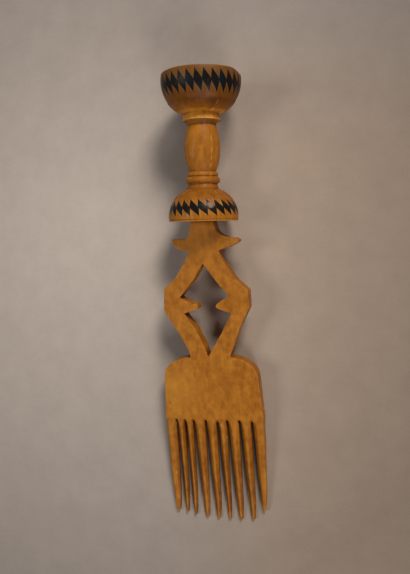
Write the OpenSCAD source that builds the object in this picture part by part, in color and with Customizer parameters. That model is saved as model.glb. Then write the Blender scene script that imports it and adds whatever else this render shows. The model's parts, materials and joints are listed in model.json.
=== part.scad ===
// Wooden hair comb: a lathe-turned handle that ends in a cup, and a flat carved plate with nine teeth.
// It is modelled lying down, as it comes to rest: the dome's rim and the longest teeth touch z = 0.
// X runs across the plate, Y along the comb towards the cup, Z up. The origin is under its middle.
// Each piece is drawn about the comb's own mid-plane first, with y = 0 on the line of the tooth roots.

/* [Cup] */
// Greatest diameter of the cup
cup_d = 41; // [38:0.5:46]
// Diameter of the cup's foot
cup_foot_d = 16.4; // [14:0.2:18]
// Height of the cup from its foot to its end
cup_h = 20.7; // [18:0.1:23]
// Height of the cup's end above its greatest diameter
cup_lip_h = 3.5; // [1:0.1:5]
// Bevel round the cup's flat end
rim_bevel = 0.4; // [0.2:0.1:1]

/* [Collar] */
// Diameter of the collar's lip under the cup
collar_d = 19.8; // [18:0.2:24]
// Thickness of the collar's lip
collar_lip_h = 0.8; // [0.5:0.1:1.5]
// Height of the hollow flare between the lip and the cup's foot
collar_flare_h = 1.8; // [1:0.1:3]
// Height of the undercut below the lip
undercut_h = 1.9; // [1:0.1:3]
// Diameter of the undercut right below the lip
undercut_d = 16.6; // [15.6:0.2:17.6]

/* [Baluster] */
// Diameter of the baluster at its belly
belly_d = 18.5; // [16.5:0.1:22]
// Diameter of the baluster's top
baluster_top_d = 14.8; // [12:0.1:15.4]
// Diameter of the baluster's foot
baluster_foot_d = 13.6; // [12:0.1:15]
// Height from the foot to the belly
belly_h = 10.7; // [8:0.1:14]
// Height from the belly to the top
shoulder_h = 12.7; // [10:0.1:18]

/* [Bead rings] */
// Diameter of the thin fillet above the beads
top_fillet_d = 14.2; // [13.6:0.1:15]
// Height of that fillet
top_fillet_h = 0.5; // [0.3:0.1:1]
// Diameter of the upper bead
small_bead_d = 16; // [15.2:0.1:17]
// Height of the upper bead
small_bead_h = 2.2; // [1.5:0.1:3]
// Diameter of the lower bead
large_bead_d = 17.8; // [16.4:0.1:20]
// Height of the lower bead
large_bead_h = 3.6; // [2.5:0.1:5]
// Diameter of the core that both beads stand on, and of the hollow's waist below them
bead_core_d = 15; // [14:0.1:15.1]
// Height of the hollow below the beads
hollow_h = 1.9; // [1:0.1:3]

/* [Dome] */
// Greatest diameter of the dome
dome_d = 36.2; // [33:0.2:42]
// Diameter of the dome's top
dome_top_d = 16.4; // [15.4:0.2:18]
// Height of the dome over its flat underside
dome_h = 16.3; // [15.5:0.1:19]
// Height of the thin fillet on the dome's top
dome_fillet_h = 0.8; // [0.4:0.1:1.5]
// Height of the dome's greatest diameter
dome_belly_h = 2.3; // [1.9:0.1:4]
// Height of the scribed line above the underside
lip_line_h = 1.2; // [0.8:0.1:1.8]
// Depth of the scribed line
lip_line_depth = 0.3; // [0.1:0.05:0.5]

/* [Lozenge bands] */
// Lozenges round the cup
cup_lozenges = 30; // [24:1:33]
// Height of the band round the cup
cup_band_h = 9.6; // [6:0.1:11]
// Depth of that band's middle below the cup's end
cup_band_drop = 6.5; // [6:0.1:9]
// Slant of each lozenge of the cup, tip to tip
cup_slant = 2.8; // [0:0.1:4]
// Lozenges round the dome
dome_lozenges = 25; // [20:1:28]
// Height of the band round the dome
dome_band_h = 7.4; // [5:0.1:9]
// Height of that band's middle above the underside
dome_band_rise = 7.3; // [6:0.1:8.5]
// Slant of each lozenge of the dome, tip to tip
dome_slant = 4.6; // [0:0.1:6]
// Depth of the pockets that hold the black filling
pocket_depth = 0.7; // [0.5:0.05:1]
// Gap left round and under the filling, and its drop below the wood
filling_gap = 0.05; // [0.02:0.01:0.1]
// Wood left between the points of two neighbouring pockets
point_wall = 0.1; // [0.05:0.05:0.6]

/* [Tenon] */
// Diameter of the round tenon on the plate's neck
tenon_d = 7.6; // [6:0.1:8.2]
// Length of the tenon
tenon_l = 13; // [8:0.5:14]
// Clearance round the tenon, and at the end of its bore
tenon_fit = 0.1; // [0.05:0.01:0.3]
// Bevel on the tenon's end
tenon_bevel = 0.6; // [0.3:0.1:1]

/* [Neck and wings] */
// Angle by which the handle and the neck lean from the plate's centre line
handle_lean = 2.7; // [0:0.1:4]
// Height from the top corner of the window to the dome
crown_h = 21.9; // [19:0.1:27]
// Half the span of the two wings
wing_reach = 18.3; // [15:0.1:23]

/* [Openwork] */
// Half the span of the bent limbs
limb_reach = 23; // [21:0.1:26]
// Height of the window between the limbs
window_h = 49.2; // [44:0.1:60]
// Thickness of the plate, the limbs and the neck
plate_t = 8.5; // [8.2:0.1:11]

/* [Plate] */
// Width of the plate at its shoulders
plate_w = 51; // [47:0.5:60]
// How much wider the plate is at the tooth roots
root_flare = 2.6; // [0:0.1:4]
// Height of the plate from the tooth roots to its shoulders
plate_h = 33.7; // [28:0.1:45]
// Width of each rounded shoulder
shoulder_w = 15.2; // [12:0.1:16]
// Drop of the left shoulder's curve
left_shoulder_drop = 9.5; // [7:0.1:14]
// Drop of the right shoulder's curve
right_shoulder_drop = 11.4; // [7:0.1:14]
// Bevel along the plate's two straight edges
edge_bevel = 1.2; // [0.4:0.1:1.8]
// Thickness of the plate at the tooth roots
root_t = 7; // [5:0.1:8]

/* [Teeth] */
// Length of the longest tooth
tooth_l = 56.1; // [45:0.1:70]
// Thickness of a tooth at its heel, where its point begins
heel_t = 2.8; // [2:0.1:3.6]
// Depth to which a tooth's form runs on inside the plate
root_bite = 1; // [0.5:0.1:2]
// Step between the plate's face and a tooth's root
root_step = 0.1; // [0.05:0.01:0.2]

/* [Hidden] */
$fn = 96;
// How far a cut runs past the surface that it opens
overrun = 1;

// Places of the eight slots and the nine tooth tips across the plate, as shares of its half width,
// with each tooth's length as a share of the longest: the teeth were sawn by eye, and the last is short
slot_shares = [-0.774, -0.601, -0.427, -0.177, 0.061, 0.261, 0.511, 0.754];
tip_shares = [-0.907, -0.726, -0.552, -0.295, -0.054, 0.191, 0.414, 0.672, 0.896];
length_shares = [0.945, 0.96, 0.977, 0.992, 1, 1, 1, 0.99, 0.9];
// A tooth's form from root to tip: place along it, width to its left, to its right and to the plate's
// edge, then the flat land left between its bevels and the flat height left at its sides
tooth_form_shares = [
    [0, 1, 0.9, 1, 0.92, 0.94],
    [0.02, 0.93, 0.87, 1, 0.7, 0.8],
    [0.05, 0.88, 0.85, 0.99, 0.52, 0.66],
    [0.11, 0.8, 0.8, 0.97, 0.42, 0.58],
    [0.3, 0.73, 0.78, 0.9, 0.34, 0.5],
    [0.5, 0.63, 0.78, 0.8, 0.3, 0.46],
    [0.65, 0.51, 0.74, 0.7, 0.3, 0.44],
    [0.8, 0.39, 0.62, 0.56, 0.3, 0.42],
    [0.93, 0.26, 0.4, 0.33, 0.34, 0.42],
    [1, 0.12, 0.18, 0.15, 0.4, 0.5]
];
// The most land and flat height that the plate's bevelled edge leaves on the two outer teeth
outer_corner_shares = [0.62, 0.67];
// Width at the tooth roots, and the walls between teeth: the plate's two edges and the eight slots
root_w = plate_w + root_flare;
tooth_walls = root_w / 2 * concat([-1], slot_shares, [1]);
// Thickness of a tooth at its point, as a share of its thickness at the heel, the section next to it
point_share = 0.6;
heel_share = tooth_form_shares[len(tooth_form_shares) - 2][0];

// Outline of the neck and a wing, from the dome down, as shares of the wings' reach and the crown's height
left_wing_shares = [[0.33, 1], [0.38, 0.76], [0.43, 0.62], [0.47, 0.595], [0.93, 0.585], [0.83, 0.41],
    [0.67, 0.33], [0.41, 0.275]];
right_wing_shares = [[0.33, 1], [0.4, 0.8], [0.51, 0.7], [0.68, 0.63], [0.97, 0.6], [1.04, 0.56],
    [1.04, 0.51], [0.89, 0.43], [0.7, 0.365], [0.47, 0.31]];
// Outline of a limb down its outer side, as shares of the limbs' reach and the window's height
left_limb_shares = [[0.43, 1.03], [0.66, 0.875], [0.97, 0.75], [1, 0.53], [0.97, 0.48], [0.7, 0.28],
    [0.47, 0.07], [0.45, 0.015]];
right_limb_shares = [[0.44, 1.05], [0.7, 0.84], [0.84, 0.77], [0.98, 0.71], [1, 0.69], [1, 0.52],
    [0.75, 0.3], [0.58, 0.1], [0.49, 0]];
// Edge of the window down each side, with its prong, in the same shares
left_window_shares = [[0, 1], [0.25, 0.83], [0.6, 0.65], [0.31, 0.58], [0.21, 0.585], [0.175, 0.555],
    [0.19, 0.52], [0.52, 0.477], [0.26, 0.3], [0.08, 0.11]];
right_window_shares = [[-0.02, 0], [0.09, 0.09], [0.27, 0.22], [0.58, 0.463], [0.25, 0.52], [0.225, 0.55],
    [0.26, 0.575], [0.54, 0.654], [0.31, 0.785], [0.05, 0.96]];

// Heights along the handle, from the dome's underside
hollow_z = dome_h + dome_fillet_h;
large_bead_z = hollow_z + hollow_h;
small_bead_z = large_bead_z + large_bead_h;
top_fillet_z = small_bead_z + small_bead_h;
baluster_z = top_fillet_z + top_fillet_h;
undercut_z = baluster_z + belly_h + shoulder_h;
collar_z = undercut_z + undercut_h;
cup_z = collar_z + collar_lip_h + collar_flare_h;
handle_l = cup_z + cup_h;

// Radius of the arc that swells by rise over a height, and lies upright at its end
function arc_r(rise, height) = (rise * rise + height * height) / (2 * rise);
// How far an arc of radius r reaches out from its centre, at a height off that centre
function arc_reach(r, height) = sqrt(r * r - height * height);
cup_arc_r = arc_r((cup_d - cup_foot_d) / 2, cup_h - cup_lip_h);
dome_arc_r = arc_r((dome_d - dome_top_d) / 2, dome_h - dome_belly_h);
// Centres of those arcs, from the handle's axis and above the dome's underside
cup_arc_at = [cup_d / 2 - cup_arc_r, cup_z + cup_h - cup_lip_h];
dome_arc_at = [dome_d / 2 - dome_arc_r, dome_belly_h];

// Places along the comb, from the line of the tooth roots
window_y = plate_h;
crotch_y = window_y + window_h;
seat_y = crotch_y + crown_h;

// Tilt of the comb when it lies on the heel of its longest teeth and on one arc of the handle
heel_y = -tooth_l * heel_share;
function lying_angle(arc_at, radius) =
    let (reach = [crotch_y + (crown_h + arc_at[1]) * cos(handle_lean) - heel_y, heel_t / 2 - arc_at[0]])
    asin(radius / norm(reach)) - atan2(reach[1], reach[0]);
// It comes to rest on the dome or on the cup, whichever tilts it more
rest_angle = max(lying_angle(dome_arc_at, dome_arc_r), lying_angle(cup_arc_at, cup_arc_r));
rest_lift = heel_t / 2 * cos(rest_angle) - heel_y * sin(rest_angle);
end_y = (crotch_y + (crown_h + handle_l) * cos(handle_lean)) * cos(rest_angle)
    + cup_d / 2 * sin(rest_angle);
rest_shift = (tooth_l * cos(rest_angle) - end_y) / 2;

// Lays a piece down from the comb's own mid-plane to its place at rest
module at_rest() {
    translate([0, rest_shift, rest_lift]) rotate([rest_angle, 0, 0]) children();
}

// Stands a turned piece on the neck, along the leaning handle's axis
module on_neck() {
    translate([0, crotch_y, 0]) rotate([0, 0, -handle_lean])
        translate([0, crown_h, 0]) rotate([-90, 0, 0]) children();
}

// Half section of a turned swelling: an arc from foot_r at y = 0 out to top_r at y = h, and on for past
module swell(foot_r, top_r, h, past = 0) {
    swell_r = arc_r(top_r - foot_r, h);
    intersection() {
        square([top_r + overrun, h + past]);
        translate([top_r - swell_r, h]) circle(r = swell_r);
    }
}

// Half section of a straight turned taper
module taper(foot_r, top_r, h) {
    polygon([[0, 0], [foot_r, 0], [top_r, h], [0, h]]);
}

// Half section of a hollow flare, from foot_r at y = 0 in to top_r at y = h
module flare(foot_r, top_r, h) {
    flare_r = arc_r(foot_r - top_r, h);
    difference() {
        square([foot_r, h]);
        translate([top_r + flare_r, h]) circle(r = flare_r);
    }
}

// Half section of the cup, with its bevelled flat end
module cup_section() {
    difference() {
        swell(cup_foot_d / 2, cup_d / 2, cup_h - cup_lip_h, cup_lip_h);
        translate([cup_arc_at[0] + arc_reach(cup_arc_r, cup_lip_h), cup_h])
            rotate(45) square(rim_bevel * sqrt(2), center = true);
    }
}

// Half section of the dome, with the line scribed above its underside
module dome_section() {
    difference() {
        translate([0, dome_h]) mirror([0, 1])
            swell(dome_top_d / 2, dome_d / 2, dome_h - dome_belly_h, dome_belly_h);
        translate([dome_arc_at[0] + arc_reach(dome_arc_r, dome_belly_h - lip_line_h), lip_line_h])
            rotate(45) square(lip_line_depth * sqrt(2), center = true);
    }
}

// Half section of the whole handle
module handle_section() {
    dome_section();
    translate([0, dome_h]) square([dome_top_d / 2, dome_fillet_h]);
    translate([0, hollow_z]) flare(dome_top_d / 2, bead_core_d / 2, hollow_h);
    translate([0, large_bead_z]) swell(bead_core_d / 2, large_bead_d / 2, large_bead_h / 2, large_bead_h / 2);
    translate([0, small_bead_z]) swell(bead_core_d / 2, small_bead_d / 2, small_bead_h / 2, small_bead_h / 2);
    translate([0, top_fillet_z]) square([top_fillet_d / 2, top_fillet_h]);
    translate([0, baluster_z]) swell(baluster_foot_d / 2, belly_d / 2, belly_h);
    translate([0, undercut_z]) mirror([0, 1]) swell(baluster_top_d / 2, belly_d / 2, shoulder_h);
    translate([0, undercut_z]) taper(baluster_top_d / 2, undercut_d / 2, undercut_h);
    translate([0, collar_z]) square([collar_d / 2, collar_lip_h]);
    translate([0, collar_z + collar_lip_h]) flare(collar_d / 2, cup_foot_d / 2, collar_flare_h);
    translate([0, cup_z]) cup_section();
}

// A turned skin that follows an arc about centre, from depth below the wood to proud above it
module band_skin(centre, r, middle_z, band_h, depth, proud) {
    rotate_extrude() intersection() {
        translate(centre) difference() {
            circle(r = r + proud);
            circle(r = r - depth);
        }
        translate([0, middle_z - band_h / 2 - overrun])
            square([centre[0] + r + overrun, band_h + 2 * overrun]);
    }
}

// The ring of lozenges of one band, each a separate piece of the skin that is passed in
// grow widens a lozenge on every side, for the pocket that takes the filling
module lozenge_ring(count, middle_z, band_r, band_h, slant, grow) {
    half_w = band_r * sin(180 / count) - point_wall / 2 - filling_gap + grow;
    half_h = band_h / 2 + grow;
    for (i = [0 : count - 1])
        intersection() {
            children();
            rotate([0, 0, i * 360 / count]) translate([0, 0, middle_z]) rotate([90, 0, 0])
                linear_extrude(height = band_r + overrun)
                    polygon([[-slant / 2, half_h], [half_w, 0], [slant / 2, -half_h], [-half_w, 0]]);
        }
}

cup_band_z = handle_l - cup_band_drop;
module cup_lozenge_ring(depth, proud, grow) {
    lozenge_ring(cup_lozenges, cup_band_z, cup_d / 2 - pocket_depth, cup_band_h, cup_slant, grow)
        band_skin(cup_arc_at, cup_arc_r, cup_band_z, cup_band_h, depth, proud);
}

module dome_lozenge_ring(depth, proud, grow) {
    band_r = dome_arc_at[0] + arc_reach(dome_arc_r, dome_band_rise - dome_belly_h);
    lozenge_ring(dome_lozenges, dome_band_rise, band_r - pocket_depth, dome_band_h, dome_slant, grow)
        band_skin(dome_arc_at, dome_arc_r, dome_band_rise, dome_band_h, depth, proud);
}

// The handle, turned in one piece: cup, collar, baluster, beads and dome, with the bore for the tenon
module turned_handle() {
    color("goldenrod") at_rest() on_neck() difference() {
        rotate_extrude() handle_section();
        translate([0, 0, -overrun]) cylinder(d = tenon_d + 2 * tenon_fit, h = tenon_l + tenon_fit + overrun);
        cup_lozenge_ring(pocket_depth, overrun, filling_gap);
        dome_lozenge_ring(pocket_depth, overrun, filling_gap);
    }
}

module cup_band_filling() {
    color("black") at_rest() on_neck() cup_lozenge_ring(pocket_depth - filling_gap, -filling_gap, 0);
}

module dome_band_filling() {
    color("black") at_rest() on_neck() dome_lozenge_ring(pocket_depth - filling_gap, -filling_gap, 0);
}

// Points of an outline from its shares: mirrored to one side, and scaled to the sizes they follow
function placed(shares, side, size, base_y) =
    [for (p = shares) [side * p[0] * size[0], base_y + p[1] * size[1]]];
// The same points turned with the leaning neck about the window's top corner
function leaning(points) = [for (p = points)
    let (up = p[1] - crotch_y)
    [p[0] * cos(handle_lean) + up * sin(handle_lean),
        crotch_y + up * cos(handle_lean) - p[0] * sin(handle_lean)]];
function reversed(list) = [for (i = [len(list) - 1 : -1 : 0]) list[i]];
// A rounded shoulder of the plate: a quarter of an ellipse from the limb out to the straight edge
shoulder_steps = 8;
function shoulder(side, drop) = [for (i = [0 : shoulder_steps])
    let (turn = 90 * i / shoulder_steps)
    [side * (plate_w / 2 - shoulder_w * (1 - sin(turn))), plate_h - drop * (1 - cos(turn))]];

wing_size = [wing_reach, crown_h];
window_size = [limb_reach, window_h];
function half_outline(side, wing_shares, limb_shares, drop) = concat(
    leaning(placed(wing_shares, side, wing_size, crotch_y)),
    placed(limb_shares, side, window_size, window_y),
    shoulder(side, drop),
    [[side * root_w / 2, 0]]);

// The flat outline of the plate, limbs, wings and neck, with the window and its two prongs cut out
module plate_outline() {
    difference() {
        polygon(concat(half_outline(-1, left_wing_shares, left_limb_shares, left_shoulder_drop),
            reversed(half_outline(1, right_wing_shares, right_limb_shares, right_shoulder_drop))));
        polygon(concat(placed(left_window_shares, -1, window_size, window_y),
            placed(right_window_shares, 1, window_size, window_y)));
    }
}

// The plate seen from its edge: full thickness down to the shoulders, then thinner towards the teeth
module edge_taper() {
    full = plate_t / 2;
    thin = root_t / 2;
    thick_y = plate_h - left_shoulder_drop;
    top_y = seat_y + overrun;
    rotate([90, 0, 90]) linear_extrude(height = 2 * plate_w, center = true)
        polygon([[0, -thin], [thick_y, -full], [top_y, -full], [top_y, full], [thick_y, full], [0, thin]]);
}

// One bevel along a straight edge of the plate, following its flare and the taper of its face
module edge_cut(shoulder_drop) {
    flare_turn = atan2(root_flare / 2, plate_h - shoulder_drop);
    fall = atan2((plate_t - root_t) / 2, plate_h - left_shoulder_drop);
    translate([root_w / 2, 0, root_t / 2]) rotate([0, 0, flare_turn]) rotate([fall, 0, 0]) rotate([0, 45, 0])
        translate([0, plate_h / 2, 0])
            cube([edge_bevel * sqrt(2), plate_h + 2 * overrun, edge_bevel * sqrt(2)], center = true);
}

// One tooth, lofted from root to tip through eight-sided sections that go from the sawn blank's
// rectangle to a bevelled lens with a narrow land on its face
// Each side of a section is [x of its edge, share of land, share of flat height]
function tooth_ring(at, half_t, left, right) =
    let (mid = (left[0] + right[0]) / 2, half_w = (right[0] - left[0]) / 2)
    let (left_land = mid - half_w * left[1], right_land = mid + half_w * right[1])
    let (left_t = half_t * left[2], right_t = half_t * right[2])
    [[left_land, at, half_t], [right_land, at, half_t], [right[0], at, right_t], [right[0], at, -right_t],
        [right_land, at, -half_t], [left_land, at, -half_t], [left[0], at, -left_t], [left[0], at, left_t]];
module tooth(number) {
    tip_x = root_w / 2 * tip_shares[number];
    length = tooth_l * length_shares[number];
    root_half = root_t / 2 - root_step;
    function half_t(form) = form[0] == 1 ? heel_t / 2 * point_share
        : root_half + (heel_t / 2 - root_half) * form[0] / heel_share;
    // The side of a section towards a wall of its slot, or towards the plate's edge
    function side(form, wall, width, is_outer) = is_outer
        ? [tip_x + (wall - tip_x) * form[3], min(form[4], outer_corner_shares[0]),
            min(form[5], outer_corner_shares[1])]
        : [tip_x + (wall - tip_x) * width, form[4], form[5]];
    function ring(at, form) = tooth_ring(at, half_t(form),
        side(form, tooth_walls[number], form[1], number == 0),
        side(form, tooth_walls[number + 1], form[2], number == len(tip_shares) - 1));
    rings = concat([ring(root_bite, tooth_form_shares[0])],
        [for (form = tooth_form_shares) ring(-length * form[0], form)]);
    sides = len(rings[0]);
    ends = len(rings) - 1;
    polyhedron(points = [for (ring = rings) each ring], faces = concat(
        [[for (k = [0 : sides - 1]) sides - 1 - k]],
        [[for (k = [0 : sides - 1]) ends * sides + k]],
        [for (i = [0 : ends - 1], k = [0 : sides - 1])
            let (next = (k + 1) % sides)
            [i * sides + k, i * sides + next, (i + 1) * sides + next, (i + 1) * sides + k]]));
}

// The round tenon that plugs into the handle, on the leaning neck
module tenon() {
    on_neck() translate([0, 0, -root_bite]) cylinder(d = tenon_d, h = tenon_l - tenon_bevel + root_bite);
    on_neck() translate([0, 0, tenon_l - tenon_bevel])
        cylinder(d1 = tenon_d, d2 = tenon_d - 2 * tenon_bevel, h = tenon_bevel);
}

// The flat comb, sawn and carved from one board: neck, wings, bent limbs with prongs, plate and teeth
module comb_plate() {
    color("darkgoldenrod") at_rest() {
        difference() {
            intersection() {
                linear_extrude(height = plate_t + 2 * overrun, center = true) plate_outline();
                edge_taper();
            }
            for (face = [0, 1]) mirror([0, 0, face]) {
                edge_cut(right_shoulder_drop);
                mirror([1, 0, 0]) edge_cut(left_shoulder_drop);
            }
        }
        for (number = [0 : len(tip_shares) - 1]) tooth(number);
        tenon();
    }
}

turned_handle();
comb_plate();
cup_band_filling();
dome_band_filling();
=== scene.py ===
import json
from math import asin, atan2, cos, pi, radians, sin, tau
from random import Random

import bmesh
import bpy
from mathutils import Matrix, Vector, noise


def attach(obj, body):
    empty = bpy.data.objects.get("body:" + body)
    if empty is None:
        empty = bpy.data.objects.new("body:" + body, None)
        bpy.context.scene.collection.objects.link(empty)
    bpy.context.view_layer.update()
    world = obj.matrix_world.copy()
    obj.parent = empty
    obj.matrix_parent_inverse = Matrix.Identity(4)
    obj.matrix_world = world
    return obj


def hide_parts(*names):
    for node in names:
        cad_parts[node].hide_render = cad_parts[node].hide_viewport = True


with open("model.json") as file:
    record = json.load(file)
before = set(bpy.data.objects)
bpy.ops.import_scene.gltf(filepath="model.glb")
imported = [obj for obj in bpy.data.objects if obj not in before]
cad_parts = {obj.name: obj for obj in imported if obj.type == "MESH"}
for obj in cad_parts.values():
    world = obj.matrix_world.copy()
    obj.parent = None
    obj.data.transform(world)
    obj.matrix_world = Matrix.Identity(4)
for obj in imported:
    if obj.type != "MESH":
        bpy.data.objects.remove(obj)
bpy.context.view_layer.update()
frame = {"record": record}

scene = bpy.context.scene
scene.view_settings.view_transform = "Standard"

# The photographer stands over the comb, a little to its right, and takes the whole length in
# through a slightly long lens.
camera = bpy.data.objects.new("camera", bpy.data.cameras.new("camera"))
camera.data.lens = 37.6
camera.data.sensor_width = 36.0
camera.data.clip_start = 0.01
camera.location = (0.0860, 0.0052, 0.3167)
camera.rotation_euler = (radians(-0.11), radians(16.01), radians(-2.29))
scene.collection.objects.link(camera)
scene.camera = camera

# The table under the comb: a sheet of warm grey paper, matt, with the faint clouding of handling.
# A pool of light is painted on it on the left of the comb. Beyond it, painted shade darkens the paper,
# more so towards the right, where it is also browner, and at the far end.
table_reach = 3.0
paper_grey = (0.46, 0.383, 0.332, 1)
paper_brown = (0.46, 0.345, 0.264, 1)
pool_centre, pool_core, pool_edge = (-0.073, 0.044, 0.0), 0.02, 0.22
edge_shade, right_shade, far_shade = 0.55, 0.87, 0.9


def shade(tree, kind, inputs=(), **settings):
    """Adds one shader node. Each input is a plain value, or the output of another node."""
    node = tree.nodes.new("ShaderNode" + kind)
    for name, value in settings.items():
        setattr(node, name, value)
    for name, value in dict(inputs).items():
        if isinstance(value, bpy.types.NodeSocket):
            tree.links.new(value, node.inputs[name])
        else:
            node.inputs[name].default_value = value
    return node


def calc(tree, operation, *values):
    return shade(tree, "Math", dict(enumerate(values)), operation=operation).outputs[0]


def blend(tree, share, first, second):
    return shade(tree, "Mix", {0: share, 2: first, 3: second}, data_type="FLOAT").outputs[0]


def tint(tree, amount, colour, other, how="MULTIPLY"):
    """Lays another colour over a colour, as far as amount says."""
    mixed = shade(tree, "Mix", {0: amount, 6: colour, 7: other}, data_type="RGBA", blend_type=how)
    return mixed.outputs[2]


def spread(tree, value, low, high, low_result=0.0, high_result=1.0):
    """Maps the range from low to high onto the two results, and holds it there beyond."""
    limits = {0: value, 1: low, 2: high, 3: low_result, 4: high_result}
    return shade(tree, "MapRange", limits).outputs[0]


def ramp(tree, factor, *stops):
    """A colour ramp on factor, from (place, colour) stops."""
    node = shade(tree, "ValToRGB", {"Fac": factor})
    for element, (place, colour) in zip(node.color_ramp.elements, (stops[0], stops[-1])):
        element.position, element.color = place, colour
    for place, colour in stops[1:-1]:
        node.color_ramp.elements.new(place).color = colour
    return node.outputs["Color"]


def finish_material(name, roughness, specular):
    """A new material with its principled shader, whose uniform values sit on its own sockets."""
    material = bpy.data.materials.new(name)
    material.use_nodes = True
    surface = material.node_tree.nodes["Principled BSDF"]
    surface.inputs["Roughness"].default_value = roughness
    surface.inputs["Specular IOR Level"].default_value = specular
    return material, material.node_tree, surface


def piece_from(bm, name, place, material):
    """Finishes a mesh made in millimetres: lays it in its place, in metres, as one smooth object."""
    mesh = bpy.data.meshes.new(name)
    bm.to_mesh(mesh)
    bm.free()
    mesh.transform(place)
    mesh.shade_smooth()
    mesh.materials.append(material)
    piece = bpy.data.objects.new(name, mesh)
    scene.collection.objects.link(piece)
    return piece


paper, tree, surface = finish_material("warm_grey_paper", roughness=0.85, specular=0.2)
spot = shade(tree, "TexCoord").outputs["Object"]
cloud = shade(tree, "TexNoise", {"Vector": spot, "Scale": 60.0, "Detail": 5.0, "Roughness": 0.7})
fleck = shade(tree, "TexNoise", {"Vector": spot, "Scale": 900.0, "Detail": 2.0})
on_table = shade(tree, "SeparateXYZ", {0: spot}).outputs
low_right = calc(tree, "MULTIPLY", spread(tree, on_table["X"], -0.05, 0.05),
                 spread(tree, on_table["Y"], 0.08, 0.16, 1.0, 0.0))
paper_colour = tint(tree, low_right, paper_grey, paper_brown, "MIX")
# Painted light and shade: a pool of light on the left of the comb, falling off to painted shade at its
# edge, towards the right and at the far end.
off_pool = shade(tree, "VectorMath", {0: spot, 1: pool_centre}, operation="DISTANCE").outputs["Value"]
pool = spread(tree, off_pool, pool_core, pool_edge, 1.0, edge_shade)
mottled = blend(tree, 0.3, cloud.outputs["Fac"], fleck.outputs["Fac"])
tone = calc(tree, "MULTIPLY", pool, spread(tree, mottled, 0.35, 0.65, 0.93, 1.05))
tone = calc(tree, "MULTIPLY", tone, spread(tree, on_table["X"], 0.03, 0.1, 1.0, right_shade))
tone = calc(tree, "MULTIPLY", tone, spread(tree, on_table["Y"], 0.06, 0.16, 1.0, far_shade))
paper_colour = shade(tree, "VectorMath", {0: paper_colour, "Scale": tone}, operation="SCALE").outputs[0]
tree.links.new(paper_colour, surface.inputs["Base Color"])
table_top = bmesh.new()
bmesh.ops.create_grid(table_top, x_segments=1, y_segments=1, size=table_reach)
table = piece_from(table_top, "table", Matrix.Identity(4), paper)

# Soft studio light from softboxes that stand round the table: the key light is beyond the comb on its
# right, and the others lift its shadows a little. Each has its turn round the table, its height over
# it, both in degrees, then its strength, the length of its side and its colour.
lamp_distance, full_power = 1.5, 9.87
lamps = (
    ("key_softbox", 60, 39, 0.82, 0.42, (1.0, 0.96, 0.90)),
    ("right_softbox", 300, 37, 0.40, 0.50, (1.0, 0.98, 0.95)),
    ("left_softbox", 180, 53, 0.28, 0.50, (0.92, 0.97, 1.0)),
    ("low_softbox", 270, 22, 0.10, 0.50, (0.92, 0.97, 1.0)),
)
for name, turn, height, amount, side, colour in lamps:
    lamp = bpy.data.objects.new(name, bpy.data.lights.new(name, "AREA"))
    lamp.data.shape = "SQUARE"
    lamp.data.size = side
    lamp.data.energy = amount * full_power * lamp_distance ** 2
    lamp.data.color = colour
    turned_up = Matrix.Rotation(radians(turn), 3, "Z") @ Matrix.Rotation(radians(-height), 3, "Y")
    toward = turned_up @ Vector((1, 0, 0))
    lamp.location = lamp_distance * toward
    lamp.rotation_euler = toward.to_track_quat("Z", "Y").to_euler()
    scene.collection.objects.link(lamp)

room = bpy.data.worlds.new("room")
room.use_nodes = True
room_light = room.node_tree.nodes["Background"]
room_light.inputs["Color"].default_value = (0.95, 0.97, 1.0, 1)
room_light.inputs["Strength"].default_value = 0.03
rays = shade(room.node_tree, "LightPath").outputs
seen = calc(room.node_tree, "MAXIMUM", rays["Is Camera Ray"], rays["Is Transmission Ray"])
seen = calc(room.node_tree, "MAXIMUM", seen, rays["Is Glossy Ray"])
backdrop = shade(room.node_tree, "Background", {"Color": paper_grey, "Strength": 1.0})
either = shade(room.node_tree, "MixShader", {0: seen, 1: room_light.outputs[0], 2: backdrop.outputs[0]})
room.node_tree.links.new(either.outputs[0], room.node_tree.nodes["World Output"].inputs["Surface"])
scene.world = room

# The carved board: neck, two wings, two bent limbs round an open window, plate and nine teeth, all
# sawn and knife-cut from one plank of pale, close-grained hardwood that handling has turned amber.
# A round tenon on its neck holds the handle. Both are shaped in millimetres.
board_t, root_t = 8.5, 7.0
plate_w, root_w, plate_h = 51.0, 53.6, 33.7
shoulder_w, left_shoulder_drop, right_shoulder_drop = 15.2, 9.5, 11.4
limb_reach, window_h = 23.0, 49.2
wing_reach, crown_h = 18.3, 21.9
tooth_l, heel_t = 56.1, 2.8
tenon_d, tenon_l = 7.6, 13.0
handle_l = 73.9
crotch_y = plate_h + window_h

# How the comb lies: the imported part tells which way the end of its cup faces, and where it is.
cup_end = frame["record"]["mounts"][0]
toward_cup = Vector(cup_end["axis"])
lean, tilt = asin(toward_cup.x), atan2(toward_cup.z, toward_cup.y)
on_neck = (Matrix.Translation((0, crotch_y, 0)) @ Matrix.Rotation(-lean, 4, "Z")
           @ Matrix.Translation((0, crown_h, 0)) @ Matrix.Rotation(-pi / 2, 4, "X"))
board_turn = Matrix.Rotation(tilt, 4, "X") @ Matrix.Scale(0.001, 4)
cup_end_on_board = on_neck @ Vector((0, 0, handle_l))
board_place = Matrix.Translation(Vector(cup_end["pos_m"]) - board_turn @ cup_end_on_board) @ board_turn
handle_place = board_place @ on_neck

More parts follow.
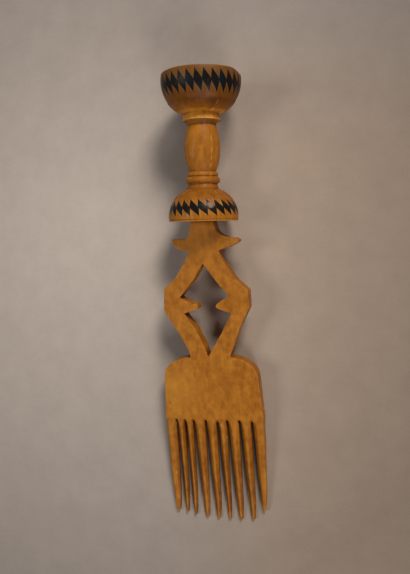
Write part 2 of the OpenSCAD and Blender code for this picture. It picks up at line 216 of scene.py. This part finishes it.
# Corners of the outline, down each side, and of the window, round it, as shares of the reach and height
# of the wings or of the limbs. Both sides were cut by eye, so they differ.
left_wing_shares = ((0.33, 1), (0.38, 0.76), (0.43, 0.62), (0.47, 0.595), (0.93, 0.585), (0.83, 0.41),
                    (0.67, 0.33), (0.41, 0.275))
right_wing_shares = ((0.33, 1), (0.4, 0.8), (0.51, 0.7), (0.68, 0.63), (0.97, 0.6), (1.04, 0.56),
                     (1.04, 0.51), (0.89, 0.43), (0.7, 0.365), (0.47, 0.31))
left_limb_shares = ((0.43, 1.03), (0.66, 0.875), (0.97, 0.75), (1, 0.53), (0.97, 0.48), (0.7, 0.28),
                    (0.47, 0.07), (0.45, 0.015))
right_limb_shares = ((0.44, 1.05), (0.7, 0.84), (0.84, 0.77), (0.98, 0.71), (1, 0.69), (1, 0.52),
                     (0.75, 0.3), (0.58, 0.1), (0.49, 0))
left_window_shares = ((0, 1), (0.25, 0.83), (0.6, 0.65), (0.31, 0.58), (0.21, 0.585), (0.175, 0.555),
                      (0.19, 0.52), (0.52, 0.477), (0.26, 0.3), (0.08, 0.11))
right_window_shares = ((-0.02, 0), (0.09, 0.09), (0.27, 0.22), (0.58, 0.463), (0.25, 0.52),
                       (0.225, 0.55), (0.26, 0.575), (0.54, 0.654), (0.31, 0.785), (0.05, 0.96))
leaning = (Matrix.Translation((0, crotch_y, 0)) @ Matrix.Rotation(-lean, 4, "Z")
           @ Matrix.Translation((0, -crotch_y, 0)))


def placed(side, shares, reach, height, foot_y):
    """The points of one side's outline, from their shares of its reach and height."""
    return [Vector((side * across * reach, foot_y + up * height, 0)) for across, up in shares]


def shoulder(side, drop, steps=10):
    """The plate's rounded shoulder, a quarter of an ellipse down to the straight edge."""
    curve = []
    for turn in [pi / 2 * step / steps for step in range(steps + 1)]:
        reach = plate_w / 2 - shoulder_w * (1 - sin(turn))
        curve.append(Vector((side * reach, plate_h - drop * (1 - cos(turn)), 0)))
    return curve


def half_outline(side, wing_shares, limb_shares, drop):
    wing = [leaning @ point for point in placed(side, wing_shares, wing_reach, crown_h, crotch_y)]
    limb = placed(side, limb_shares, limb_reach, window_h, plate_h)
    return wing + limb + shoulder(side, drop) + [Vector((side * root_w / 2, 0, 0))]


outline = (half_outline(-1, left_wing_shares, left_limb_shares, left_shoulder_drop)
           + half_outline(1, right_wing_shares, right_limb_shares, right_shoulder_drop)[::-1])
window = (placed(-1, left_window_shares, limb_reach, window_h, plate_h)
          + placed(1, right_window_shares, limb_reach, window_h, plate_h))

# The plank is sawn to the outline, with the window cut out. It is thinned from the shoulders down,
# and its rims are rounded with the knife.
rim_round, rim_angle, weld = 0.5, radians(60), 1e-4
board = bmesh.new()
for loop in (outline, window):
    corners = [board.verts.new(point - Vector((0, 0, board_t / 2))) for point in loop]
    for corner, following in zip(corners, corners[1:] + corners[:1]):
        board.edges.new((corner, following))
bmesh.ops.triangle_fill(board, edges=board.edges[:], use_beauty=True)
front = bmesh.ops.extrude_face_region(board, geom=board.faces[:])["geom"]
front_corners = [part for part in front if isinstance(part, bmesh.types.BMVert)]
bmesh.ops.translate(board, vec=(0, 0, board_t), verts=front_corners)
bmesh.ops.recalc_face_normals(board, faces=board.faces)
thick_y = plate_h - left_shoulder_drop
bmesh.ops.bisect_plane(board, geom=board.verts[:] + board.edges[:] + board.faces[:],
                       plane_co=(0, thick_y, 0), plane_no=(0, 1, 0), dist=weld)
for vertex in board.verts:
    below = max(0, thick_y - vertex.co.y) / thick_y
    vertex.co.z *= 1 - below * (1 - root_t / board_t)
bmesh.ops.dissolve_limit(board, angle_limit=radians(0.5), verts=board.verts, edges=board.edges)
rims = []
for edge in board.edges:
    of_broad_face = max(abs(face.normal.z) for face in edge.link_faces) > 0.9
    above_teeth = edge.verts[0].co.y + edge.verts[1].co.y > 0.1
    if edge.calc_face_angle(0) > rim_angle and of_broad_face and above_teeth:
        rims.append(edge)
bmesh.ops.bevel(board, geom=rims, offset=rim_round, offset_type="OFFSET", affect="EDGES", segments=2,
                profile=0.5, material=-1, clamp_overlap=True)

# Each tooth is lofted out of the plate's edge: from the blank's rectangle at its root, where it
# flares to its left, to a lens with pared corners and a blunt point. The teeth were cut by eye, so
# each has its own place, lean and length.
slot_shares = (-0.774, -0.601, -0.427, -0.177, 0.061, 0.261, 0.511, 0.754)
tip_shares = (-0.907, -0.726, -0.552, -0.295, -0.054, 0.191, 0.414, 0.672, 0.896)
length_shares = (0.945, 0.96, 0.977, 0.992, 1, 1, 1, 0.99, 0.9)
# Place along the tooth, width on the left of its axis, on its right and on an outer side, then the
# land left between the bevels and the flat height left at the sides. The outer sides of the two end
# teeth keep a broader land and flat.
tooth_form_shares = (
    (0, 1, 0.87, 1, 0.86, 0.9),
    (0.02, 0.93, 0.85, 1, 0.6, 0.72),
    (0.05, 0.88, 0.85, 0.99, 0.42, 0.54),
    (0.11, 0.82, 0.82, 0.98, 0.32, 0.42),
    (0.3, 0.76, 0.8, 0.94, 0.26, 0.34),
    (0.5, 0.68, 0.8, 0.86, 0.24, 0.3),
    (0.65, 0.58, 0.77, 0.77, 0.24, 0.3),
    (0.8, 0.5, 0.72, 0.66, 0.26, 0.3),
    (0.93, 0.4, 0.58, 0.5, 0.3, 0.34),
    (0.98, 0.3, 0.44, 0.38, 0.36, 0.4),
    (1, 0.18, 0.26, 0.22, 0.4, 0.5),
)
outer_land_share, outer_flat_share = 0.6, 0.66
buried_share = -0.03
tooth_stations = ((buried_share,) + tooth_form_shares[0][1:],) + tooth_form_shares
last_tooth = len(tip_shares) - 1
heel_share, point_share = 0.93, 0.6
root_bite, root_step = 1.5, 0.1
knife_error = 0.08
knife = Random(9)


def tooth_section(left, right, at, half_t, left_form, right_form):
    """The eight corners of a tooth, cut across at one place. A form is a land and a flat."""
    middle, half_w = (left + right) / 2, (right - left) / 2
    (left_land, left_flat), (right_land, right_flat) = left_form, right_form
    across = (-left_land, right_land, 1, 1, right_land, -left_land, -1, -1)
    up = (1, 1, right_flat, -right_flat, -1, -1, -left_flat, left_flat)
    return [Vector((middle + half_w * x, at, half_t * z)) for x, z in zip(across, up)]


half_root = root_w / 2
walls = (-half_root,) + tuple(share * half_root for share in slot_shares) + (half_root,)
for number, (tip_share, length_share) in enumerate(zip(tip_shares, length_shares)):
    tip, length = tip_share * half_root, tooth_l * length_share
    last_edges = []
    for place, left_share, right_share, outer_share, land, flat in tooth_stations:
        inner_form = (land, flat)
        outer_form = (max(land, outer_land_share), max(flat, outer_flat_share))
        left_form = outer_form if number == 0 else inner_form
        right_form = outer_form if number == last_tooth else inner_form
        left = tip + (walls[number] - tip) * (outer_share if number == 0 else left_share)
        right = tip + (walls[number + 1] - tip) * (outer_share if number == last_tooth else right_share)
        drift = knife.uniform(-knife_error, knife_error) if 0 < place < 1 else 0
        half_t = root_t / 2 - root_step
        half_t += (heel_t / 2 - half_t) * max(0, place) / heel_share
        if place > heel_share:
            half_t = heel_t / 2 * (1 - (1 - point_share) * (place - heel_share) / (1 - heel_share))
        ring = bmesh.ops.create_circle(board, cap_ends=False, segments=8, radius=1)["verts"]
        corners = tooth_section(left + drift, right + drift, -length * place, half_t, left_form,
                                right_form)
        for vertex, corner in zip(ring, corners):
            vertex.co = corner
        edges = list({edge for vertex in ring for edge in vertex.link_edges})
        if last_edges:
            bmesh.ops.bridge_loops(board, edges=last_edges + edges)
        else:
            bmesh.ops.holes_fill(board, edges=edges, sides=0)
        last_edges = edges
    bmesh.ops.holes_fill(board, edges=last_edges, sides=0)
bmesh.ops.recalc_face_normals(board, faces=board.faces)

tenon_at = on_neck @ Matrix.Translation((0, 0, tenon_l / 2 - root_bite / 2))
bmesh.ops.create_cone(board, cap_ends=True, segments=64, radius1=tenon_d / 2, radius2=tenon_d / 2,
                      depth=tenon_l + root_bite, matrix=tenon_at)


# The wood of both pieces: amber, with fine fibres along the piece, soft streaks and clouds, short
# dark pores, soiling and painted shade in the hollows, and pale rubbing and a painted highlight on the
# edges.
deep_amber = (0.256, 0.081, 0.005, 1)
pale_amber = (0.402, 0.147, 0.013, 1)
worn_and_highlit_amber = (0.6, 0.31, 0.09, 1)
pore_dark = (0.4, 0.28, 0.18, 1)
hollow_dirt_and_shade = (0.3, 0.2, 0.1, 1)


def lay_marks(tree, colour, here, marks):
    """Lays soft-edged, ragged spots on a colour: knots, stains, chips, worn places and patches of
    painted light and shade.
    """
    ragged = shade(tree, "TexNoise", {"Vector": here, "Scale": 700.0, "Detail": 2.0}).outputs["Fac"]
    for centre, radius, softness, amount, stain, how in marks:
        away = shade(tree, "VectorMath", {0: here, 1: centre}, operation="DISTANCE").outputs["Value"]
        uneven = calc(tree, "MULTIPLY_ADD", ragged, radius, away)
        inside = spread(tree, uneven, radius * (1.5 - softness), radius * (1.5 + softness), amount, 0.0)
        colour = tint(tree, inside, colour, stain, how)
    return colour


def amber_wood(name, turn, streaky, dirt_and_shade, wear_and_highlight, marks, tarnish_and_painted_light):
    """Wood whose grain runs along the turned axis, with its share of streaks, of soiling and painted
    shade in hollows, and of rubbing and painted highlight on edges.
    """
    wood, tree, surface = finish_material(name, roughness=0.45, specular=0.16)
    here = shade(tree, "TexCoord").outputs["Object"]
    along = shade(tree, "Mapping", {"Vector": here, "Rotation": turn}, vector_type="TEXTURE").outputs[0]

    def grain(across, lengthwise, detail, distortion=0.0):
        stretched = shade(tree, "Mapping", {"Vector": along, "Scale": (across, lengthwise, across)})
        return shade(tree, "TexNoise", {"Vector": stretched.outputs[0], "Scale": 1.0, "Detail": detail,
                                        "Distortion": distortion}).outputs["Fac"]

    fibre = grain(1500.0, 110.0, 3.0)
    streak = grain(420.0, 45.0, 3.0, 0.5)
    mottle = grain(380.0, 300.0, 2.0)
    clouds = grain(110.0, 80.0, 2.0)
    tone = blend(tree, streaky, blend(tree, 0.6, clouds, mottle), blend(tree, 0.35, streak, fibre))
    colour = ramp(tree, tone, (0.4, deep_amber), (0.6, pale_amber))

    cells = shade(tree, "Mapping", {"Vector": along, "Scale": (700.0, 150.0, 700.0)}).outputs[0]
    pores = shade(tree, "TexVoronoi", {"Vector": cells, "Scale": 1.0})
    pore = spread(tree, pores.outputs["Distance"], 0.08, 0.2, 1.0, 0.0)
    chosen = shade(tree, "SeparateColor", {0: pores.outputs["Color"]}).outputs[0]
    pitted = calc(tree, "MULTIPLY", pore, calc(tree, "GREATER_THAN", chosen, 0.7))
    colour = tint(tree, calc(tree, "MULTIPLY", pitted, 0.4), colour, pore_dark)

    # Painted shade, with some soiling: the wood darkens where its hollows are shut in.
    open_sky = shade(tree, "AmbientOcclusion", {"Distance": 0.004}, samples=8).outputs["AO"]
    dirt_and_shade_share = spread(tree, open_sky, 0.3, 0.85, dirt_and_shade, 0.0)
    colour = tint(tree, dirt_and_shade_share, colour, hollow_dirt_and_shade)
    # Painted highlight, with some rubbing: the sharpest edges are lightened.
    rubbed_and_highlit = spread(tree, shade(tree, "NewGeometry").outputs["Pointiness"], 0.52, 0.57, 0.0, wear_and_highlight)
    colour = tint(tree, rubbed_and_highlit, colour, worn_and_highlit_amber, "MIX")
    colour = tarnish_and_painted_light(tree, here, colour)
    colour = lay_marks(tree, colour, here, marks)
    tree.links.new(colour, surface.inputs["Base Color"])

    gloss = spread(tree, tone, 0.3, 0.7, 0.54, 0.42)
    tree.links.new(gloss, surface.inputs["Roughness"])
    relief = blend(tree, 0.5, fibre, streak)
    dented = calc(tree, "MULTIPLY_ADD", pitted, -0.5, relief)
    bump = shade(tree, "Bump", {"Height": dented, "Strength": 0.3, "Distance": 0.0002})
    tree.links.new(bump.outputs[0], surface.inputs["Normal"])
    return wood


# A small knot by the left edge, painted light on the left of the plate and on the neck, and painted
# shade on the right wing.
# Each mark has its middle, radius, softness, strength and colour, and how that is laid on the wood.
board_marks = (
    (board_place @ Vector((-23.6, 8.9, 3.7)), 0.0005, 0.3, 0.85, (0.25, 0.14, 0.08, 1), "MULTIPLY"),
    (board_place @ Vector((-21.0, 16.0, 4.0)), 0.011, 0.9, 0.45, (0.5, 0.22, 0.03, 1), "MIX"),
    (board_place @ Vector((-5.0, 98.0, 4.2)), 0.009, 0.9, 0.4, (0.48, 0.17, 0.012, 1), "MIX"),
    (board_place @ Vector((13.0, 95.5, 4.2)), 0.008, 0.9, 0.45, (0.55, 0.5, 0.45, 1), "MULTIPLY"),
)
# Painted shade on the flanks of the teeth: the outer flanks of the two end teeth stay unshaded, as it
# fades out between these two distances from the middle of the comb.
flank_shade = (0.36, 0.25, 0.13, 1)
outer_flank_from, outer_flank_to = 0.0225, 0.0245


def shaded_flanks(tree, here, colour):
    """Painted shade on the flanks of the teeth that face each other, where each tooth shades the next.
    """
    root = board_place.translation
    spot = shade(tree, "SeparateXYZ", {0: here}).outputs
    facing = shade(tree, "SeparateXYZ", {0: shade(tree, "NewGeometry").outputs["Normal"]}).outputs["X"]
    flank = spread(tree, calc(tree, "ABSOLUTE", facing), 0.12, 0.75, 0.0, 0.72)
    below = spread(tree, spot["Y"], root.y - 0.036, root.y - 0.002, 1.0, 0.1)
    off_centre = calc(tree, "ABSOLUTE", calc(tree, "SUBTRACT", spot["X"], root.x))
    inward = spread(tree, off_centre, outer_flank_from, outer_flank_to, 1.0, 0.0)
    amount = calc(tree, "MULTIPLY", flank, calc(tree, "MULTIPLY", below, inward))
    return tint(tree, amount, colour, flank_shade)


# The flanks of the teeth get painted shade.
board_wood = amber_wood("carved_amber_wood", (tilt, 0, 0), streaky=0.3, dirt_and_shade=0.95, wear_and_highlight=0.5,
                        marks=board_marks, tarnish_and_painted_light=shaded_flanks)
comb_board = piece_from(board, "comb_board", board_place, board_wood)

# The plank, the teeth and the tenon become one skin, smoothed by wear and faintly waved by the knife.
skin = comb_board.modifiers.new("one_skin", "REMESH")
skin.mode = "VOXEL"
skin.voxel_size = 0.00028
skin.use_smooth_shade = True
smoothed = comb_board.modifiers.new("worn_smooth", "SMOOTH")
smoothed.factor = 0.5
smoothed.iterations = 2
knife_waves = bpy.data.textures.new("knife_waves", "CLOUDS")
knife_waves.noise_scale = 0.005
pared = comb_board.modifiers.new("knife_pared", "DISPLACE")
pared.texture = knife_waves
pared.texture_coords = "LOCAL"
pared.mid_level = 1.0
pared.strength = 0.00028
thinned = comb_board.modifiers.new("thinned", "DECIMATE")
thinned.ratio = 0.34
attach(comb_board, "root")
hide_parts("comb_plate")

# The handle, turned on a lathe from one piece of the same wood: a deep cup on a flared collar, a
# slim baluster, a fillet and two beads, and a dome whose flat underside is bored for the tenon.
cup_r, cup_foot_r, cup_h, cup_lip_h, rim_bevel = 20.5, 8.2, 20.7, 3.5, 0.4
cup_bottom_r, cup_bottom_h, cup_bottom_turn, cup_bottom_step, cup_bottom_steps = 12.9, 16.2, 85, 4, 13
collar_r, collar_lip_h, collar_flare_r, collar_flare_h = 9.9, 0.8, 8.5, 3.3
undercut_r, undercut_h = 8.3, 1.9
belly_r, baluster_top_r, baluster_foot_r, belly_h, neck_h = 9.25, 7.4, 6.8, 10.7, 12.7
top_fillet_r, top_fillet_h = 7.1, 0.5
small_bead_r, small_bead_h, large_bead_r, large_bead_h, bead_core_r = 8.0, 2.2, 8.9, 3.6, 7.5
hollow_h, dome_r, dome_top_r, dome_h, dome_fillet_h, dome_belly_h = 1.9, 18.1, 8.2, 16.3, 0.8, 2.3
lip_line_h, lip_line_depth = 0.8, 0.3
bore_r, bore_h = 3.9, 13.1
turn_steps = 300

hollow_z = dome_h + dome_fillet_h
large_bead_z = hollow_z + hollow_h
small_bead_z = large_bead_z + large_bead_h
fillet_z = small_bead_z + small_bead_h
baluster_z = fillet_z + top_fillet_h
undercut_z = baluster_z + belly_h + neck_h
collar_z = undercut_z + undercut_h
flare_z = collar_z + collar_lip_h
cup_z = handle_l - cup_h
cup_foot, cup_belly = (cup_foot_r, cup_z), (cup_r, cup_z + cup_h - cup_lip_h)
dome_foot, dome_belly = (dome_top_r, dome_h), (dome_r, dome_belly_h)

# For each band, its number of lozenges, its height, its place up the handle and its slant. point_wall is
# the wood left where two lozenges meet, and a fullness over 1 swells their sides. cut_error is how far a
# cut strays, and it dies away at band_fade times half the band's height.
cup_lozenges, cup_band_h, cup_band_z, cup_slant = 30, 11.0, handle_l - 7.0, 3.2
dome_lozenges, dome_band_h, dome_band_z, dome_slant = 25, 8.6, 6.7, 5.2
point_wall, cut_error, fullness, band_fade = 0.1, 0.13, 1.15, 1.19
pocket_depth, pocket_draft = 0.6, 0.06


def swelling(foot, belly, low, high, steps):
    """Points (radius, height) from low to high, on the arc through foot that is upright at belly."""
    rise, height = belly[0] - foot[0], belly[1] - foot[1]
    radius = (rise * rise + height * height) / (2 * rise)
    start, end = asin((low - belly[1]) / radius), asin((high - belly[1]) / radius)
    turns = [start + (end - start) * step / steps for step in range(steps + 1)]
    return [(belly[0] - radius + radius * cos(turn), belly[1] + radius * sin(turn)) for turn in turns]


def band_rows(foot, belly, middle_z, band_h, steps=7):
    """The rows of points that a band needs: below its waist, on it and above it."""
    half_h = band_h / 2
    return (swelling(foot, belly, middle_z - half_h, middle_z, steps)
            + swelling(foot, belly, middle_z, middle_z + half_h, steps)[1:])


line_low, line_high = lip_line_h - lip_line_depth, lip_line_h + lip_line_depth
profile = [(0, bore_h), (bore_r, bore_h), (bore_r, 0)]
profile += swelling(dome_foot, dome_belly, 0, line_low, 3)
line_r = swelling(dome_foot, dome_belly, lip_line_h, line_high, 1)[0][0]
profile += [(line_r - lip_line_depth, lip_line_h)]
profile += swelling(dome_foot, dome_belly, line_high, dome_band_z - dome_band_h / 2, 5)[:-1]
profile += band_rows(dome_foot, dome_belly, dome_band_z, dome_band_h)
profile += swelling(dome_foot, dome_belly, dome_band_z + dome_band_h / 2, dome_h, 9)[1:]
profile += swelling((dome_top_r, hollow_z), (bead_core_r, large_bead_z), hollow_z, large_bead_z, 5)
for bead_z, bead_h, bead_r in ((large_bead_z, large_bead_h, large_bead_r),
                               (small_bead_z, small_bead_h, small_bead_r)):
    bead_foot, bead_belly = (bead_core_r, bead_z), (bead_r, bead_z + bead_h / 2)
    profile += swelling(bead_foot, bead_belly, bead_z, bead_z + bead_h, 12)
profile += [(top_fillet_r, fillet_z), (top_fillet_r, baluster_z)]
belly = (belly_r, baluster_z + belly_h)
profile += swelling((baluster_foot_r, baluster_z), belly, baluster_z, belly[1], 12)
profile += swelling((baluster_top_r, undercut_z), belly, belly[1], undercut_z, 12)[1:]
profile += [(undercut_r, collar_z), (collar_r, collar_z), (collar_r, flare_z)]
profile += [(collar_flare_r, flare_z + collar_flare_h)]
for step in range(cup_bottom_steps):
    turn = radians(cup_bottom_turn - cup_bottom_step * step)
    profile += [(cup_r - cup_bottom_r * (1 - cos(turn)), cup_belly[1] - cup_bottom_h * sin(turn))]
profile += band_rows(cup_foot, cup_belly, cup_band_z, cup_band_h)
profile += swelling(cup_foot, cup_belly, cup_band_z + cup_band_h / 2, handle_l - rim_bevel, 3)[1:]
profile += [(profile[-1][0] - rim_bevel, handle_l), (0, handle_l)]

handle = bmesh.new()
points = [handle.verts.new((0, -radius, height)) for radius, height in profile]
for lower, upper in zip(points, points[1:]):
    handle.edges.new((lower, upper))
bmesh.ops.remove_doubles(handle, verts=handle.verts, dist=weld)
bmesh.ops.spin(handle, geom=handle.verts[:] + handle.edges[:], cent=(0, 0, 0), axis=(0, 0, 1), angle=tau,
               steps=turn_steps, use_merge=True)
bmesh.ops.remove_doubles(handle, verts=handle.verts, dist=weld)
bmesh.ops.recalc_face_normals(handle, faces=handle.faces)

# The two bands were marked out by eye and cut with a knife. In each, the turned skin is drawn
# together column by column to the slanted sides of the lozenges, and wavers a little as the cuts do.
spare_columns, waver_scale, waver_shift = 2, 0.45, Vector((40, 0, 0))
bands = (
    (cup_lozenges, cup_band_z, cup_band_h / 2, cup_slant, cup_foot, cup_belly),
    (dome_lozenges, dome_band_z, dome_band_h / 2, dome_slant, dome_foot, dome_belly),
)


def swell_radius(foot, belly, z):
    return swelling(foot, belly, z, z, 1)[0][0]


def column_at(point, count):
    """The lozenge that a point of the turned grid belongs to, and its column from that one's middle."""
    across = atan2(point.x, -point.y) / tau * count
    return round(across), (across - round(across)) * turn_steps / count


def slant_turn(z):
    """How far the slant of the lozenges has carried the columns round the handle, at a height."""
    knots = []
    for count, middle_z, half_h, slant, foot, belly in bands[::-1]:
        turn = slant / 2 / swell_radius(foot, belly, middle_z)
        knots += [(middle_z - half_h, turn), (middle_z + half_h, -turn)]
    for (low, low_turn), (high, high_turn) in zip(knots, knots[1:]):
        if z < high:
            return low_turn + (high_turn - low_turn) * max(0, z - low) / (high - low)
    return knots[-1][1]


for mark, (count, middle_z, half_h, slant, foot, belly) in enumerate(bands, 1):
    inner = turn_steps / count / 2 - spare_columns
    for face in handle.faces:
        middle = face.calc_center_median()
        in_band = abs(middle.z - middle_z) < half_h and middle.xy.length > 2 * bore_r
        if in_band and abs(column_at(middle, count)[1]) < inner:
            face.material_index = mark

for vertex in handle.verts:
    radius, z = vertex.co.xy.length, vertex.co.z
    if radius < bore_r + 1:
        continue
    turn, firm = atan2(vertex.co.x, -vertex.co.y), 0
    for count, middle_z, half_h, slant, foot, belly in bands:
        up = abs(z - middle_z) / half_h
        if up > band_fade:
            continue
        firm = min(1, (band_fade - up) / (band_fade - 1))
        if up < 1.001:
            number, column = column_at(vertex.co, count)
            half_wall = point_wall / 2 / swell_radius(foot, belly, middle_z)
            waist = asin(sin(pi / count) - half_wall) / tau * count
            half_open = waist * min(1, fullness * max(0, 1 - up))
            inner = turn_steps / count / 2 - spare_columns
            beyond = max(0, abs(column) - inner) / spare_columns
            share = half_open * min(1, abs(column) / inner) + (0.5 - half_open) * beyond
            turn = (number + (share if column > 0 else -share)) * tau / count
        place = waver_scale * Vector((radius * sin(turn), -radius * cos(turn), z))
        turn += firm * cut_error * noise.noise(place) / radius
        lifted = z + firm * cut_error * noise.noise(place + waver_shift)
        radius = swell_radius(foot, belly, lifted)
        break
    turn += slant_turn(z)
    vertex.co = radius * sin(turn), -radius * cos(turn), lifted if firm else z
bmesh.ops.remove_doubles(handle, verts=handle.verts, dist=1e-3)

# The fillings are the skins of the lozenges, lifted off before the pockets are sunk.
filling_gap, filling_drop, filling_t = 0.05, 0.06, 0.4
fillings = []
for mark in (1, 2):
    filling = handle.copy()
    others = [face for face in filling.faces if face.material_index != mark]
    bmesh.ops.delete(filling, geom=others, context="FACES")
    rim = bmesh.ops.inset_region(filling, faces=filling.faces, thickness=filling_gap,
                                 depth=-filling_drop, use_boundary=True, use_even_offset=True)["faces"]
    bmesh.ops.delete(filling, geom=rim, context="FACES")
    back = bmesh.ops.extrude_face_region(filling, geom=filling.faces[:])["geom"]
    for vertex in back:
        if isinstance(vertex, bmesh.types.BMVert):
            vertex.co.xy *= 1 - filling_t / vertex.co.xy.length
    bmesh.ops.recalc_face_normals(filling, faces=filling.faces)
    for face in filling.faces:
        face.material_index = 0
    fillings.append(filling)
pockets = [face for face in handle.faces if face.material_index]
bmesh.ops.inset_region(handle, faces=pockets, thickness=pocket_draft, depth=-pocket_depth,
                       use_boundary=True, use_even_offset=True)
for face in handle.faces:
    face.material_index = 0

# The rim of the cup is worn down at one side, and the whole skin is a little uneven from use.
worn_at, worn_reach, worn_depth = Vector((cup_r, 0, handle_l)), 9.0, 1.3
uneven_share, uneven_scale = 0.004, 0.12
for vertex in handle.verts:
    if vertex.co.xy.length > bore_r + 1:
        near = max(0, 1 - (vertex.co - worn_at).length / worn_reach)
        vertex.co.z -= worn_depth * near * near * (3 - 2 * near)
        vertex.co.xy *= 1 - uneven_share * (1 + noise.noise(vertex.co * uneven_scale))

# The cup, the undercut and the top of the dome are darker, partly patina from handling and partly
# painted shade, and the collar's flare, which the cup shades, is made pale with painted light. Each
# height up the handle has its share of the bare wood's tone, and loses green and blue faster than red.
# The black paste runs over the thin walls at the waists of both bands.
patina_and_light_shares = ((0, 1.05), (2, 1), (10, 0.85), (13, 0.72), (17, 0.85), (20, 0.95), (40, 0.92),
                 (47.6, 1.05), (48.6, 0.65), (50.4, 0.65), (50.9, 1.75), (54, 1.85), (55.5, 0.75),
                 (59, 0.4), (60.2, 0.47), (70, 0.52), (73, 0.6), (73.9, 0.95))
green_power, blue_power = 1.25, 1.8
# How far up the cup it darkens towards its rim, how much, and to what colour.
darker_from, darker_to, darker_amount = 58.0, 70.0, 0.6
cup_dark_brown = (0.1, 0.049, 0.013, 1)
smear_h = 0.5
black_smear = (0.03, 0.03, 0.03, 1)


def handle_tone_and_light(tree, here, colour):
    """The tone of each height up the handle with its painted light and shade, the darkening of the cup
    towards its rim, and the smears at the waists.
    """
    foot = handle_place.translation.dot(toward_cup)
    reach = shade(tree, "VectorMath", {0: here, 1: toward_cup}, operation="DOT_PRODUCT").outputs["Value"]
    up = calc(tree, "MULTIPLY_ADD", reach, 1000.0, -1000.0 * foot)
    stops = [(place / handle_l, (share, share ** green_power, share ** blue_power, 1))
             for place, share in patina_and_light_shares]
    colour = tint(tree, 1.0, colour, ramp(tree, calc(tree, "DIVIDE", up, handle_l), *stops))
    # The cup darkens towards its rim.
    cup_darker = spread(tree, up, darker_from, darker_to, 0.0, darker_amount)
    colour = tint(tree, cup_darker, colour, cup_dark_brown, "MIX")
    for waist_z in (cup_band_z, dome_band_z):
        off = calc(tree, "ABSOLUTE", calc(tree, "SUBTRACT", up, waist_z))
        colour = tint(tree, spread(tree, off, smear_h / 2, smear_h, 0.9, 0.0), colour, black_smear)
    return colour


# Two stains under the cup's band, and a pin hole in the baluster.
handle_marks = (
    (handle_place @ Vector((9.2, -12.3, 57.9)), 0.0018, 0.6, 0.6, (0.45, 0.4, 0.4, 1), "MULTIPLY"),
    (handle_place @ Vector((8.1, -9.6, 55.4)), 0.0011, 0.6, 0.5, (0.5, 0.4, 0.3, 1), "MULTIPLY"),
    (handle_place @ Vector((-1.4, -9.1, 34.9)), 0.0004, 0.4, 0.6, (0.35, 0.2, 0.12, 1), "MULTIPLY"),
)
handle_wood = amber_wood("turned_amber_wood", (tilt, 0, -lean), streaky=0.6, dirt_and_shade=0.4, wear_and_highlight=0.5,
                         marks=handle_marks, tarnish_and_painted_light=handle_tone_and_light)
crease_angle = radians(40)
turned = piece_from(handle, "turned_wood_handle", handle_place, handle_wood)
turned.data.set_sharp_from_angle(angle=crease_angle)
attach(turned, "root")
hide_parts("turned_handle")

# The black filling of the lozenges: a hard paste that was rubbed into the pockets, to just under the
# wood, and polished by handling. It is black with patches of painted blue sheen, brown where wood dust
# is caught in it, and chipped in one place on the dome.
blue_sheen_black = (0.004, 0.009, 0.014, 1)
plain_black = (0.005, 0.004, 0.0035, 1)
dusty_black = (0.02, 0.011, 0.005, 1)
bare_wood = (0.26, 0.17, 0.11, 1)
black_paste, tree, surface = finish_material("black_lozenge_paste", roughness=0.35, specular=0.09)
here = shade(tree, "TexCoord").outputs["Object"]
mottle = shade(tree, "TexNoise", {"Vector": here, "Scale": 900.0, "Detail": 3.0}).outputs["Fac"]
dusty = shade(tree, "TexNoise", {"Vector": here, "Scale": 190.0, "Detail": 2.0}).outputs["Fac"]
speck = blend(tree, 0.5, mottle, dusty)
black = ramp(tree, speck, (0.4, blue_sheen_black), (0.52, plain_black), (0.66, dusty_black))
chip = ((handle_place @ Vector((7.9, -15.0, 7.9)), 0.0015, 0.3, 0.8, bare_wood, "MIX"),)
tree.links.new(lay_marks(tree, black, here, chip), surface.inputs["Base Color"])
tree.links.new(spread(tree, mottle, 0.35, 0.7, 0.28, 0.45), surface.inputs["Roughness"])
dents = shade(tree, "Bump", {"Height": speck, "Strength": 0.3, "Distance": 0.0002})
tree.links.new(dents.outputs[0], surface.inputs["Normal"])
for filling, name, node in zip(fillings, ("cup_black_lozenges", "dome_black_lozenges"),
                               ("cup_band_filling", "dome_band_filling")):
    lozenges = piece_from(filling, name, handle_place, black_paste)
    lozenges.data.set_sharp_from_angle(angle=crease_angle)
    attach(lozenges, "root")
    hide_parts(node)
